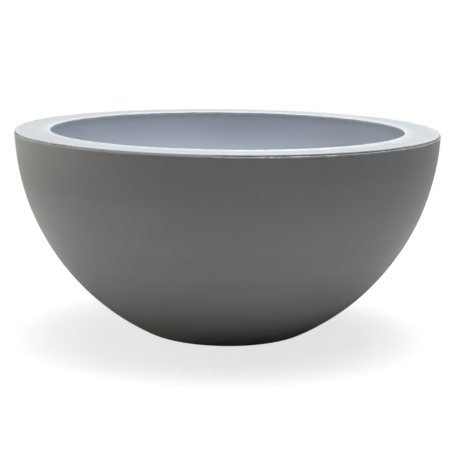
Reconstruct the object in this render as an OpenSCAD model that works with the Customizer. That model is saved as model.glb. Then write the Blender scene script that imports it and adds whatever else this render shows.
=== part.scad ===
// Low round planter bowl with two skins.
// An outer bowl and an inner bowl with a flat rim are bonded together round the rim, and a threaded
// drain fitting clamps their floors. The origin is on the ground under the middle of the bowl, +Z up.

/* [Outer bowl] */
// Outside diameter at the rim
bowl_d = 560; // [500:5:640]
// Height from the flat foot to the top of the rim
bowl_h = 273; // [250:1:310]
// Diameter of the flat foot
foot_d = 170; // [160:2:190]
// Radius that turns the wall into the foot
foot_blend = 60; // [50:1:70]
// Outward lean of the wall at the rim, in degrees
wall_lean = 1.4; // [0.2:0.1:3]
// Thickness of the outer skin
shell_t = 5; // [4:0.5:6]

/* [Foot] */
// Width of the flat ring that the pads are let into
foot_ring_w = 32; // [30:1:36]
// Height of the hollow inside that ring
recess_h = 12; // [11:0.5:16]
// How far the side of the hollow leans in
recess_draft = 3; // [1:0.5:5]
// Rounding of the ring's inner edge
recess_round = 1.5; // [0.5:0.5:2.5]
// Fillet in the corner of the hollow
recess_fillet = 3; // [1.5:0.5:5]

/* [Rim] */
// Width of the flat rim, from its outer edge to the opening
rim_w = 47; // [44:1:56]
// Thickness of the rim plate
rim_t = 3; // [2.5:0.5:5]
// Rounding of the rim's outer edge
rim_outer_round = 1.2; // [0.6:0.2:1.6]
// Rounding of the edge of the opening
rim_inner_round = 2.5; // [1.5:0.5:3]
// Fillet under the rim, where it meets the inner skin
rim_fillet = 6; // [3:0.5:8]

/* [Bonded joint] */
// Width of the ledge inside the outer bowl that the rim is bonded to
ledge_w = 22; // [18:1:24]
// Thickness of the ledge
ledge_t = 6; // [4:0.5:8]
// Fillet under the ledge
ledge_fillet = 6; // [3:0.5:8]
// Width of the tongue under the rim that centres it in the ledge
tongue_w = 4; // [3:0.5:5]
// Height of the tongue
tongue_h = 10; // [6:0.5:12]
// Clearance between tongue and ledge
tongue_clear = 0.3; // [0.2:0.1:0.6]
// Chamfer on both lips of the joint line
joint_chamfer = 0.6; // [0.3:0.1:0.8]

/* [Inner bowl] */
// Thickness of the inner skin
liner_t = 4; // [3:0.5:5]
// How far the inner floor stops short of the edge of the foot
floor_step = 10; // [4:1:16]
// Radius that turns the inner wall into the floor
floor_blend = 50; // [40:1:60]
// Diameter of the sump's floor
sump_d = 76; // [70:1:84]
// Depth of the sump below the inner floor
sump_depth = 23; // [18:1:28]
// How far the side of the sump leans out
sump_flare = 16; // [10:1:20]
// Rounding of the edge where the floor drops into the sump
sump_round = 6; // [3:0.5:8]
// Fillet round the floor of the sump
sump_fillet = 5; // [3:0.5:6]

/* [Drain fitting] */
// Bore of the drain
drain_d = 26; // [22:0.5:30]
// Wall of the threaded tube
bush_wall = 4; // [3:0.5:5]
// Width of the flange round the tube
bush_flange_w = 10; // [8:0.5:12]
// Thickness of the flange
bush_flange_t = 4; // [3:0.5:5]
// Rounding of the flange's upper edge
bush_round = 1.5; // [0.5:0.5:2]
// How far the tube stands out below the nut
bush_tail = 1.5; // [0.5:0.5:2.5]
// Bevel at the mouth of the bore
bush_bevel = 1; // [0.5:0.25:1.5]
// Clearance between the tube and the holes in both floors
hole_clear = 0.5; // [0.3:0.1:1]
// Thickness of the sealing washer
seal_t = 2; // [1.5:0.5:3]
// How far the washer stays inside the edge of the flange
seal_inset = 1; // [0.5:0.5:2]
// Clearance between washer and tube
seal_clear = 0.2; // [0.1:0.1:0.4]
// Height of the nut
nut_t = 8; // [6:0.5:8.5]
// Width of the nut's wall at its flats
nut_wall = 7; // [5:0.5:9]
// Width of the nut's round face outside its flats
nut_face_w = 4; // [3:0.5:6]
// Thickness of the nut's round face
nut_face_t = 2; // [1.5:0.5:3]
// Clearance between the nut and the tube's thread
thread_clear = 0.1; // [0.05:0.05:0.2]

/* [Drain plug] */
// Width of the plug's flange outside the bore
plug_flange_w = 8; // [5:0.5:9]
// Thickness of the plug's flange
plug_flange_t = 4; // [3:0.5:5]
// Rounding of the flange's upper edge
plug_round = 1.5; // [0.5:0.5:2]
// Length of the shank in the bore
plug_shank = 15; // [12:0.5:17]
// Number of sealing ribs on the shank
plug_ribs = 2; // [1:1:3]
// Height of a sealing rib
plug_rib_h = 2.5; // [2:0.25:3]
// Depth of the grooves between the ribs
plug_groove = 1.2; // [0.8:0.1:2]
// Clearance between the ribs and the bore
plug_clear = 0.05; // [0.02:0.01:0.09]
// Height of the grip above the flange
grip_h = 26; // [24:0.5:32]
// Diameter of the grip's round head
grip_head_d = 18; // [16:0.5:20]
// Diameter of the grip's neck
grip_neck_d = 11; // [9:0.5:13]
// Fillet at the foot of the neck
grip_fillet = 3; // [1:0.5:4]

/* [Foot pads] */
// Number of pads
pad_count = 4; // [3:1:6]
// Diameter of a pad
pad_d = 26; // [22:0.5:28]
// Thickness of a pad
pad_t = 5; // [4.5:0.5:6]
// How far a pad stands out of the foot
pad_proud = 3; // [2.5:0.5:3.5]
// Clearance round a pad in its socket
pad_clear = 0.25; // [0.1:0.05:0.5]
// Chamfer round the foot of a pad
pad_chamfer = 0.8; // [0.3:0.1:1.2]

/* [Hidden] */
$fn = 180;

// Cuts reach this far past the faces that they open
over = 1;
// Arcs cross what they are tangent to by this much, so that they always meet it
lap = 0.005;

// Outer bowl, from the ground up
bowl_r = bowl_d / 2;
foot_r = foot_d / 2;
foot_z = pad_proud;
recess_r = foot_r - foot_ring_w;
recess_z = foot_z + recess_h;
outer_floor_z = recess_z + shell_t;
rim_z = foot_z + bowl_h;
joint_z = rim_z - rim_t;
ledge_z = joint_z - ledge_t;

// Inner bowl
opening_r = bowl_r - rim_w;
lip_z = rim_z - rim_inner_round;
sump_z = outer_floor_z + liner_t;
floor_z = sump_z + sump_depth;
floor_r = foot_r - floor_step;
tongue_r = bowl_r - ledge_w - tongue_clear;

// Drain fitting and plug
drain_r = drain_d / 2;
bush_r = drain_r + bush_wall;
bush_flange_r = bush_r + bush_flange_w;
hole_r = bush_r + hole_clear;
seal_z = sump_z + seal_t;
bush_z = seal_z + bush_flange_t;
nut_z = recess_z - nut_t;
nut_flat_r = bush_r + nut_wall;
bush_end_z = nut_z - bush_tail;
plug_r = drain_r + plug_flange_w;
grip_head_z = plug_flange_t + grip_h - grip_head_d / 2;

// Radius of the arc that meets the rim's edge at the wall's lean and runs into the blend above a floor
function wall_radius(edge_r, h, base_r, blend) =
    ((edge_r - base_r) ^ 2 + (h - blend) ^ 2 - blend ^ 2)
    / (2 * ((edge_r - base_r) * cos(wall_lean) - (h - blend) * sin(wall_lean) - blend));

function unit(v) = v / norm(v);

// Half section of all that lies inside a bowl's curve: one arc for the wall, a smaller arc tangent to
// it for the turn into the floor, and the flat floor. A positive inset moves the whole curve inwards.
module bowl_area(edge_r, edge_z, base_r, base_z, blend, inset, top_z) {
    w = wall_radius(edge_r, edge_z - base_z, base_r, blend);
    wall_c = [edge_r - w * cos(wall_lean), edge_z + w * sin(wall_lean)];
    blend_c = [base_r, base_z + blend];
    meet = blend_c + (blend - inset) * unit(blend_c - wall_c);
    low_z = base_z + inset;
    intersection() {
        translate([0, low_z]) square([bowl_d, top_z - low_z]);
        union() {
            intersection() {
                translate(wall_c) circle(w - inset);
                translate([0, meet.y]) square([bowl_d, top_z + over - meet.y]);
            }
            translate(blend_c) circle(blend - inset + lap);
            translate([0, low_z]) square([base_r, blend - inset]);
        }
    }
}

module outer_curve(inset, top_z)
    bowl_area(bowl_r, rim_z, foot_r, foot_z, foot_blend, inset, top_z);

module inner_curve(inset, top_z)
    bowl_area(opening_r, lip_z, floor_r, floor_z, floor_blend, inset, top_z);

// Sliver between a corner and an arc of radius r that is tangent to both of its sides. They are
// given as directions from the corner, side_b being the one that lies clockwise of side_a.
// Cut away, the sliver rounds the corner, and added, it is a fillet.
module corner_sliver(corner, side_a, side_b, r) {
    a = unit(side_a);
    b = unit(side_b);
    middle = unit(a + b);
    sine = norm(a - b) / 2;
    centre = corner + middle * r / sine;
    run = r * sqrt(1 - sine ^ 2) / sine;
    touch_a = corner + a * run;
    touch_b = corner + b * run;
    difference() {
        polygon([centre, touch_a + over * unit(touch_a - centre), corner - middle * over / sine,
                 touch_b + over * unit(touch_b - centre)]);
        translate(centre) circle(r + lap);
    }
}

// Hollow under the foot. Grown by the skin's thickness it is the raised middle of the outer floor.
module recess_area(grow) {
    polygon([[0, foot_z - over], [recess_r + grow, foot_z - over], [recess_r + grow, foot_z],
             [recess_r + grow - recess_draft, recess_z + grow], [0, recess_z + grow]]);
}

// Both lips of the joint line lose a chamfer: side 1 is the rim's and -1 the outer bowl's
module joint_chamfer_area(side) {
    translate([bowl_r, joint_z])
        polygon([[over, -side * over], [-joint_chamfer - over, -side * over],
                 [0, side * joint_chamfer], [over, side * joint_chamfer]]);
}

// Sump below the inner floor, open to the bowl's own area above it
module sump_area(grow) {
    slope = sump_flare / sump_depth;
    low_z = sump_z - grow;
    high_z = floor_z + over;
    low_r = sump_d / 2 + grow * sqrt(1 + slope ^ 2) - grow * slope;
    polygon([[0, low_z], [low_r, low_z], [low_r + slope * (high_z - low_z), high_z], [0, high_z]]);
}

// A corner on the sump's slanted side, on either face of the skin
function sump_corner(grow, z) =
    [sump_d / 2 + grow * norm([sump_flare, sump_depth]) / sump_depth
     + sump_flare * (z - sump_z) / sump_depth, z];

// Outer bowl: one skin from the ledge under the rim to the flat foot ring and over the hollow in it
module outer_shell() {
    recess_side = [-recess_draft, recess_h];
    color("#808386") difference() {
        rotate_extrude() difference() {
            union() {
                difference() {
                    outer_curve(0, joint_z);
                    difference() {
                        outer_curve(shell_t, joint_z + over);
                        recess_area(shell_t);
                    }
                    recess_area(0);
                    corner_sliver([recess_r, foot_z], recess_side, [1, 0], recess_round);
                    corner_sliver([recess_r + shell_t - recess_draft, outer_floor_z],
                                  -recess_side, [-1, 0], recess_fillet + shell_t);
                }
                translate([bowl_r - ledge_w, ledge_z]) square([ledge_w - shell_t + over, ledge_t]);
                corner_sliver([bowl_r - shell_t, ledge_z], [0, -1], [-1, 0], ledge_fillet);
                corner_sliver([recess_r - recess_draft, recess_z], -recess_side, [-1, 0],
                              recess_fillet);
            }
            joint_chamfer_area(-1);
        }
        translate([0, 0, foot_z]) cylinder(r = hole_r, h = recess_h + shell_t + over);
        at_pads() translate([0, 0, foot_z - over])
            cylinder(d = pad_d + 2 * pad_clear, h = pad_t - pad_proud + over);
    }
}

// Inner bowl: the planting space with its sump, the flat rim and the tongue under the rim
module inner_bowl() {
    sump_side = [sump_flare, sump_depth];
    // How far the curved wall leans away from the rim's fillet over its height
    fall_away = rim_fillet * (tan(wall_lean) + rim_fillet / opening_r);
    color("#8a8e92") difference() {
        rotate_extrude() difference() {
            union() {
                inner_curve(-liner_t, joint_z + over);
                sump_area(liner_t);
                corner_sliver(sump_corner(liner_t, floor_z - liner_t), [1, 0], -sump_side,
                              sump_round);
                translate([opening_r - over, joint_z]) square([rim_w + over, rim_t]);
                corner_sliver([opening_r + liner_t - fall_away, joint_z], [1, 0], [0, -1],
                              rim_fillet);
                translate([tongue_r - tongue_w, joint_z - tongue_h])
                    square([tongue_w, tongue_h + over]);
            }
            difference() {
                union() {
                    inner_curve(0, rim_z + over);
                    sump_area(0);
                    corner_sliver(sump_corner(0, floor_z), [1, 0], -sump_side,
                                  sump_round + liner_t);
                }
                corner_sliver(sump_corner(0, sump_z), [-1, 0], sump_side, sump_fillet);
            }
            corner_sliver(sump_corner(liner_t, outer_floor_z), [-1, 0], sump_side,
                          sump_fillet + liner_t);
            corner_sliver([opening_r, rim_z], [1, 0], [0, -1], rim_inner_round);
            corner_sliver([bowl_r, rim_z], [0, -1], [-1, 0], rim_outer_round);
            joint_chamfer_area(1);
        }
        translate([0, 0, outer_floor_z - over]) cylinder(r = hole_r, h = liner_t + 2 * over);
    }
}

// Threaded tube through both floors, with a flange on the sealing washer
module drain_bush() {
    color("#3c3e40") rotate_extrude() difference() {
        union() {
            translate([drain_r, bush_end_z]) square([bush_wall, bush_z - bush_end_z]);
            translate([drain_r, seal_z]) square([bush_flange_r - drain_r, bush_flange_t]);
        }
        corner_sliver([bush_flange_r, bush_z], [0, -1], [-1, 0], bush_round);
        translate([drain_r, bush_z])
            polygon([[-over, over], [-over, -bush_bevel - over], [0, -bush_bevel], [bush_bevel, 0],
                     [bush_bevel, over]]);
    }
}

// Soft washer between the flange and the floor of the sump
module seal_washer() {
    color("#1d1e1f") translate([0, 0, sump_z]) difference() {
        cylinder(r = bush_flange_r - seal_inset, h = seal_t);
        translate([0, 0, -over]) cylinder(r = bush_r + seal_clear, h = seal_t + 2 * over);
    }
}

// Hexagon nut in the hollow of the foot, with a round face against the outer floor
module drain_nut() {
    color("#46484a") translate([0, 0, nut_z]) difference() {
        union() {
            cylinder(r = nut_flat_r / cos(30), h = nut_t, $fn = 6);
            translate([0, 0, nut_t - nut_face_t])
                cylinder(r = nut_flat_r + nut_face_w, h = nut_face_t);
        }
        translate([0, 0, -over]) cylinder(r = bush_r + thread_clear, h = nut_t + 2 * over);
    }
}

// Soft plug: a ribbed shank in the bore, a flange on the mouth of the bush and a round grip
module drain_plug() {
    rib_r = drain_r - plug_clear;
    core_r = rib_r - plug_groove;
    color("#2a2b2d") translate([0, 0, bush_z]) rotate_extrude() {
        translate([0, -plug_shank]) square([core_r, plug_shank + over]);
        for (i = [0:plug_ribs - 1])
            translate([0, i * plug_shank / plug_ribs - plug_shank])
                polygon([[0, 0], [core_r, 0], [rib_r, plug_rib_h / 2], [rib_r, plug_rib_h],
                         [0, plug_rib_h]]);
        difference() {
            square([plug_r, plug_flange_t]);
            corner_sliver([plug_r, plug_flange_t], [0, -1], [-1, 0], plug_round);
        }
        square([grip_neck_d / 2, grip_head_z]);
        corner_sliver([grip_neck_d / 2, plug_flange_t], [0, 1], [1, 0], grip_fillet);
        intersection() {
            translate([0, grip_head_z]) circle(d = grip_head_d);
            square([grip_head_d, plug_flange_t + grip_h + over]);
        }
    }
}

// Places its children round the foot ring, the first one at the front
module at_pads() {
    for (i = [0:pad_count - 1])
        rotate([0, 0, i * 360 / pad_count - 90]) translate([foot_r - foot_ring_w / 2, 0, 0])
            children();
}

// Soft pads let into the foot ring
module foot_pads() {
    color("#242526") at_pads() {
        cylinder(d1 = pad_d - 2 * pad_chamfer, d2 = pad_d, h = pad_chamfer);
        translate([0, 0, pad_chamfer]) cylinder(d = pad_d, h = pad_t - pad_chamfer);
    }
}

outer_shell();
inner_bowl();
drain_bush();
seal_washer();
drain_nut();
drain_plug();
foot_pads();
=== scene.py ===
"""Low round planter bowl with two skins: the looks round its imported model.

Each sub-assembly is a class that works its surfaces out as grids of points, in metres and in the
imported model's own frame, and dresses them. Its origin is on the ground under the middle of the
bowl, +Z is up, and -Y is the side that faces the camera.
"""
import logging
import math
from dataclasses import dataclass
from enum import Enum

import bpy
import numpy as np
from mathutils import Matrix, Vector


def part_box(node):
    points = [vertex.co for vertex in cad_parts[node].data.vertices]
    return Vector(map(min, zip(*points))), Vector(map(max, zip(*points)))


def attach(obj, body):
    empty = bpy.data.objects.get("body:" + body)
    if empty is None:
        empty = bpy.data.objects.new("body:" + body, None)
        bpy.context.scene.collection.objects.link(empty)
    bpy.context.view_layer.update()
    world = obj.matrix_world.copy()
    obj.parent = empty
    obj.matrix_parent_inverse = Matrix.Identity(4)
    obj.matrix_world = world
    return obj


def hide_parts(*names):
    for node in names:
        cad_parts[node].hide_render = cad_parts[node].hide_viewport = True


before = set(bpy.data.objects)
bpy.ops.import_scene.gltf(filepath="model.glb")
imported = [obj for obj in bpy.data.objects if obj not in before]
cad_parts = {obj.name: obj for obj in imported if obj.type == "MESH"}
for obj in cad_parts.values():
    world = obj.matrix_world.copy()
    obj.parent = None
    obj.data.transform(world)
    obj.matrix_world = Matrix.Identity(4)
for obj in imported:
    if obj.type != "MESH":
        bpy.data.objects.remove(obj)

log = logging.getLogger("planter")

Array = np.ndarray
Colour = tuple[float, float, float]
Socket = bpy.types.NodeSocket
Value = Socket | Colour | float

MM = 0.001
FULL_TURN = 2 * math.pi
TO_CAMERA = -math.pi / 2

# Rounded corners: turn of a step, and how far past an arc the next point stands
ARC_STEP = math.radians(11)
HOLD = 0.35 * MM

# Worn edges, partly painted highlight, and painted shade in hollows: the bend that counts fully, and how far
# the marks reach
EDGE_BEND, EDGE_REACH = 3 * MM, 0.8 * MM
HOLLOW_SHADE_BEND, HOLLOW_SHADE_REACH = 2 * MM, 1.2 * MM

# Sizes that more than one piece shares
WALL_LEAN = math.radians(1.4)
DRAIN_HOLE_R = 17.5 * MM
RIM_SETBACK = 0.8 * MM


class Body(Enum):
    """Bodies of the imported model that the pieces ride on."""

    POT = "pot"
    PLUG = "plug"


class Slot(Enum):
    """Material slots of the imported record."""

    OUTER = "outer_skin"
    INNER = "inner_skin"
    FITTING = "fitting"
    SEAL = "seal"
    PLUG = "plug"
    PAD = "pad"


class Relief(Enum):
    """Names of the mesh attributes that tell a finish where its edges are worn, partly as painted highlight,
    and where painted shade lies.
    """

    EDGE = "rubbed_edge"
    HOLLOW_SHADE = "dirty_groove"


def linear(red: int, green: int, blue: int) -> Colour:
    """Linear colour of an sRGB one.

    Args:
        red: red part, from 0 to 255.
        green: green part.
        blue: blue part.

    Returns:
        The colour, from 0 to 1.
    """
    values = np.array([red, green, blue]) / 255
    low, high = values / 12.92, ((values + 0.055) / 1.055) ** 2.4
    return tuple(float(v) for v in np.where(values <= 0.04045, low, high))


def shaded(colour: Colour, factor: float) -> Colour:
    """The colour made lighter or darker by a factor."""
    return tuple(min(c * factor, 1.0) for c in colour)


def fade(value: Array, low: float, high: float) -> Array:
    """Smooth step: 0 below low, 1 above high, and 3 t^2 - 2 t^3 in between."""
    t = np.clip((value - low) / (high - low), 0, 1)
    return t * t * (3 - 2 * t)


def from_camera(degrees: float) -> float:
    """Angle about the upright axis, counted from the side that faces the camera towards +X."""
    return TO_CAMERA + math.radians(degrees)


def arc(centre: tuple[float, float], radius: float, start: float, end: float, steps: int) -> Array:
    """Points on an arc: centre + radius * (cos a, sin a), with a running evenly from start to end.

    Args:
        centre: middle of the circle, as radius and height.
        radius: radius of the circle.
        start: first angle, in radians.
        end: last angle, in radians.
        steps: number of equal steps.

    Returns:
        Rows of radius and height.
    """
    turn = np.linspace(start, end, steps + 1)
    return np.column_stack([centre[0] + radius * np.cos(turn), centre[1] + radius * np.sin(turn)])


def rounded(corners: list[tuple[float, float, float]] | Array) -> Array:
    """Closed outline whose corners are arcs tangent to both of their sides.

    At a corner with unit directions a and b along its sides and half the angle between them h, the
    arc of radius r lies about corner + unit(a + b) * r / sin(h), and touches the sides r / tan(h)
    from the corner. A point just past each end of the arc keeps the shading of long sides even.

    Args:
        corners: rows of radius, height and rounding. A rounding of 0 keeps the point as it is.

    Returns:
        Rows of radius and height.
    """
    rows = np.asarray(corners, float)
    points = rows[:, :2]
    backs = np.roll(points, 1, axis=0) - points
    fronts = np.roll(points, -1, axis=0) - points
    outline = []
    for corner, back, front, radius in zip(points, backs, fronts, rows[:, 2]):
        if radius == 0:
            outline.append(corner[None])
            continue
        back_length, front_length = np.linalg.norm(back), np.linalg.norm(front)
        a, b = back / back_length, front / front_length
        half = math.acos(float(np.clip(a @ b, -1, 1))) / 2
        run = radius / math.tan(half)
        centre = corner + (a + b) / np.linalg.norm(a + b) * radius / math.sin(half)
        start = math.atan2(*(corner + a * run - centre)[::-1])
        end = math.atan2(*(corner + b * run - centre)[::-1])
        turn = (end - start + math.pi) % FULL_TURN - math.pi
        steps = max(3, math.ceil(abs(turn) / ARC_STEP))
        if run + HOLD < back_length / 2:
            outline.append((corner + a * (run + HOLD))[None])
        outline.append(arc(tuple(centre), radius, start, start + turn, steps))
        if run + HOLD < front_length / 2:
            outline.append((corner + b * (run + HOLD))[None])
    return np.vstack(outline)


def plain(points: Array) -> Array:
    """Points as corners with no rounding."""
    return np.column_stack([points, np.zeros(len(points))])


def even_turn(count: int) -> Array:
    """Evenly spaced angles round the axis."""
    return np.arange(count) * FULL_TURN / count


def crowded_turn(count: int, spots: Array, share: float, width: float) -> Array:
    """Angles round the axis that stand closer together near some spots.

    The angles are equal steps of the running sum of a density, which is 1 everywhere plus a bell
    curve of the given width at each spot, scaled so that the bells hold the given share of it.

    Args:
        count: number of angles.
        spots: angles to crowd near.
        share: share of the angles that the bells take.
        width: standard deviation of a bell, in radians.

    Returns:
        The angles, in rising order.
    """
    fine = np.linspace(0, FULL_TURN, 20001)
    away = (fine[:, None] - spots + math.pi) % FULL_TURN - math.pi
    bells = np.exp(-((away / width) ** 2) / 2).sum(axis=1)
    bells *= share / (1 - share) / bells.mean()
    total = np.concatenate([[0], np.cumsum(1 + (bells[1:] + bells[:-1]) / 2)])
    return np.interp(np.arange(count) / count, total / total[-1], fine)


@dataclass(frozen=True)
class Section:
    """Half section of a turned piece, as points (radius, height) that run anticlockwise.

    A ring's section closes on itself. That of a piece with no hole starts and ends on the axis.
    """

    points: Array
    ring: bool = True

    @staticmethod
    def of(points: Array, ring: bool = True) -> "Section":
        """Makes a section of an outline that runs either way round.

        Args:
            points: rows of radius and height.
            ring: whether it closes on itself.

        Returns:
            The section.
        """
        r, z = points.T
        area = (r * np.roll(z, -1) - np.roll(r, -1) * z).sum() / 2
        return Section(points if area > 0 else points[::-1], ring)

    def along(self) -> Array:
        """Running length of the outline at each point."""
        steps = np.linalg.norm(np.diff(self.points, axis=0), axis=1)
        return np.concatenate([[0], np.cumsum(steps)])

    def normals(self) -> Array:
        """Outward unit normals: the direction from the point before to the point after, turned right.

        Returns:
            Rows of radial and upward part.
        """
        ahead = np.roll(self.points, -1, axis=0) - np.roll(self.points, 1, axis=0)
        if not self.ring:
            ahead[0], ahead[-1] = (1, 0), (-1, 0)
        out = np.column_stack([ahead[:, 1], -ahead[:, 0]])
        return out / np.maximum(np.linalg.norm(out, axis=1, keepdims=True), 1e-12)

    def bends(self, radius: float, reach: float, side: int) -> Array:
        """How near each point lies to a tight bend, from 0 to 1.

        The bend of a point is its turning angle over the mean length of its two sides, times the
        radius that counts as fully tight. Each point takes the most that a bell curve of the given
        reach brings it from any bend.

        Args:
            radius: a bend this tight or tighter counts fully.
            reach: standard deviation of the bell curve along the outline.
            side: 1 for bends that stick out, -1 for hollow ones.

        Returns:
            One value for each point.
        """
        back = self.points - np.roll(self.points, 1, axis=0)
        front = np.roll(self.points, -1, axis=0) - self.points
        turn = np.arctan2(back[:, 0] * front[:, 1] - back[:, 1] * front[:, 0], (back * front).sum(axis=1))
        length = (np.linalg.norm(back, axis=1) + np.linalg.norm(front, axis=1)) / 2
        tight = np.clip(side * turn / np.maximum(length, 1e-9) * radius, 0, 1)
        if not self.ring:
            tight[[0, -1]] = 0
        away = self.along()[:, None] - self.along()
        return (tight * np.exp(-((away / reach) ** 2) / 2)).max(axis=1)

    def near(self, radius: float, height: float, reach: float) -> Array:
        """Bell curve of the distance to a place on the section, for each point."""
        away = np.linalg.norm(self.points - (radius, height), axis=1)
        return np.exp(-((away / reach) ** 2) / 2)


def put_mesh(name: str, points: Array, faces: list[list[int]],
             worn: dict[Relief, Array]) -> bpy.types.Object:
    """A smooth mesh object at the origin.

    Args:
        name: name of the object.
        points: vertices, in metres.
        faces: corners of each face, anticlockwise seen from outside.
        worn: a value for each vertex of each attribute.

    Returns:
        The object, linked to the scene.
    """
    mesh = bpy.data.meshes.new(name)
    mesh.from_pydata(points.tolist(), [], faces)
    for relief, values in worn.items():
        data = mesh.attributes.new(relief.value, "FLOAT", "POINT").data
        data.foreach_set("value", np.asarray(values, np.float32))
    mesh.shade_smooth()
    mesh.validate()
    made = bpy.data.objects.new(name, mesh)
    bpy.context.scene.collection.objects.link(made)
    return made


@dataclass(frozen=True)
class Changes:
    """What a turned surface has beside its plain section.

    Each is a number, or a value for each point and angle. lift moves a point out along its normal,
    slide moves it in radius and height, and swell multiplies its radius. spared multiplies the wear
    of the edges, rub is the least wear that edges have, and painted_shade the least painted shade.
    """

    lift: Array | float = 0.0
    slide: tuple[Array | float, Array | float] = (0.0, 0.0)
    swell: Array | float = 1.0
    spared: Array | float = 1.0
    rub: Array | float = 0.0
    painted_shade: Array | float = 0.0


def turned(name: str, section: Section, turn: Array, changes: Changes = Changes(),
           centre: tuple[float, float] = (0.0, 0.0)) -> bpy.types.Object:
    """A closed surface turned round an upright line.

    Each point of the section is first moved by its changes, and then lies at
    centre + radius * (cos t, sin t) at its own height, for each angle t of the turn.

    Args:
        name: name of the object.
        section: the half section.
        turn: angles of the copies of the section.
        changes: what is changed on the plain section.
        centre: where the upright line meets the ground.

    Returns:
        The object, with its attributes for rubbed edges, partly painted highlight, and painted shade in
        hollows.
    """
    count, columns = len(section.points), len(turn)
    lift = np.broadcast_to(changes.lift, (count, columns))
    out = section.normals()
    radius = (section.points[:, :1] + out[:, :1] * lift + changes.slide[0]) * changes.swell
    height = section.points[:, 1:] + out[:, 1:] * lift + changes.slide[1]
    grid = np.stack([centre[0] + radius * np.cos(turn), centre[1] + radius * np.sin(turn),
                     np.broadcast_to(height, radius.shape)], axis=-1)
    edges = section.bends(EDGE_BEND, EDGE_REACH, 1)[:, None] * changes.spared
    # Painted shade in hollow bends, and at least the piece's own painted shade marks
    grooves = section.bends(HOLLOW_SHADE_BEND, HOLLOW_SHADE_REACH, -1)[:, None]
    worn = {Relief.EDGE: np.maximum(edges, changes.rub), Relief.HOLLOW_SHADE: np.maximum(grooves, changes.painted_shade)}
    worn = {k: np.broadcast_to(v, (count, columns)) for k, v in worn.items()}
    ids = np.arange(count * columns).reshape(count, columns)
    beside = np.roll(ids, -1, axis=1)
    if section.ring:
        above, corner = np.roll(ids, -1, axis=0), np.roll(beside, -1, axis=0)
        faces = np.stack([ids, beside, corner, above], axis=-1).reshape(-1, 4).tolist()
        return put_mesh(name, grid.reshape(-1, 3), faces, {k: v.ravel() for k, v in worn.items()})
    body = slice(1, count - 1)
    ids, beside = ids[body] - columns + 1, beside[body] - columns + 1
    faces = np.stack([ids[:-1], beside[:-1], beside[1:], ids[1:]], axis=-1).reshape(-1, 4).tolist()
    low, high = 0, (count - 2) * columns + 1
    faces += np.stack([np.full(columns, low), beside[0], ids[0]], axis=-1).tolist()
    faces += np.stack([ids[-1], beside[-1], np.full(columns, high)], axis=-1).tolist()
    points = np.vstack([grid[0, :1], grid[body].reshape(-1, 3), grid[-1, :1]])
    flat = {k: np.concatenate([v[0, :1], v[body].ravel(), v[-1, :1]]) for k, v in worn.items()}
    return put_mesh(name, points, faces, flat)


def waves(section: Section, turn: Array, height: float, length: float, seed: int) -> Array:
    """Slow unevenness of a hand-finished skin, from 0 down to -height.

    It is a sum of cosine waves cos(k t + 2 pi s / q + p), with whole numbers k round the axis,
    wavelengths q along the outline s near the given length, and random phases p.

    Args:
        section: the half section.
        turn: angles of its copies.
        height: depth of the deepest hollow.
        length: typical wavelength.
        seed: seed of the random numbers.

    Returns:
        The lift for each point and angle.
    """
    rng = np.random.default_rng(seed)
    s = section.along()[:, None]
    total = np.zeros((len(section.points), len(turn)))
    for k in range(1, 12):
        q = length * rng.uniform(0.6, 1.8)
        total += np.cos(k * turn + FULL_TURN * s / q + rng.uniform(0, FULL_TURN)) / math.sqrt(k)
    total -= total.max()
    return height * total / -total.min()


def ragged(turn: Array, most: int, seed: int) -> Array:
    """Quick unevenness round the axis, mostly between -1 and 1.

    It is the sum of eight cosines cos(k t + p) with whole numbers k up to the most and random phases p.

    Args:
        turn: angles round the axis.
        most: the quickest number of waves in a turn.
        seed: seed of the random numbers.

    Returns:
        One value for each angle.
    """
    rng = np.random.default_rng(seed)
    counts = rng.integers(most // 8, most, 8)[:, None]
    return np.cos(counts * turn + rng.uniform(0, FULL_TURN, (8, 1))).sum(axis=0) / 3


def bell(turn: Array, degrees: float, width: float) -> Array:
    """Bell curve round the axis about an angle from the camera's side, both in degrees."""
    away = (turn - from_camera(degrees) + math.pi) % FULL_TURN - math.pi
    return np.exp(-((away / math.radians(width)) ** 2) / 2)


@dataclass(frozen=True)
class Nick:
    """Small chip in an edge: where it is round the bowl, how long and how deep it is."""

    degrees: float
    length: float
    depth: float

    def lift(self, section: Section, turn: Array, at: float) -> Array:
        """Hollow of the chip: a bell curve round the bowl times a bell curve along the outline.

        Args:
            section: the half section.
            turn: angles of its copies.
            at: running length of the outline at the middle of the edge.

        Returns:
            The lift for each point and angle.
        """
        around = bell(turn, self.degrees, math.degrees(self.length / 2 / section.points[:, 0].max()))
        across = np.exp(-(((section.along() - at) / (0.6 * self.length)) ** 2) * 2)
        return -self.depth * across[:, None] * around


RIM_NICKS = (
    Nick(-50.5, 5.0 * MM, 0.7 * MM), Nick(-35.0, 2.4 * MM, 0.7 * MM), Nick(-0.5, 2.2 * MM, 0.5 * MM),
    Nick(13.5, 2.6 * MM, 0.6 * MM), Nick(36.0, 3.4 * MM, 0.4 * MM), Nick(57.5, 3.0 * MM, 0.8 * MM),
    Nick(104.0, 4.0 * MM, 0.6 * MM), Nick(151.0, 2.8 * MM, 0.7 * MM), Nick(196.0, 3.6 * MM, 0.6 * MM),
    Nick(248.0, 2.6 * MM, 0.8 * MM),
)


# Share of a bowl's angles that crowd at the nicks, and how far from a nick they reach
NICK_SHARE = 0.45
NICK_SPREAD = 3 * MM


def turn_with_nicks(columns: int, radius: float) -> Array:
    """Angles round a bowl that stand closer together at the nicks in its rim."""
    spots = np.array([from_camera(n.degrees) for n in RIM_NICKS]) % FULL_TURN
    return crowded_turn(columns, spots, NICK_SHARE, NICK_SPREAD / radius)


def nicked(section: Section, turn: Array, at: float) -> Array:
    """Lift of all the nicks in the rim, for an edge at a running length of the outline."""
    return sum(n.lift(section, turn, at) for n in RIM_NICKS)


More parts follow.
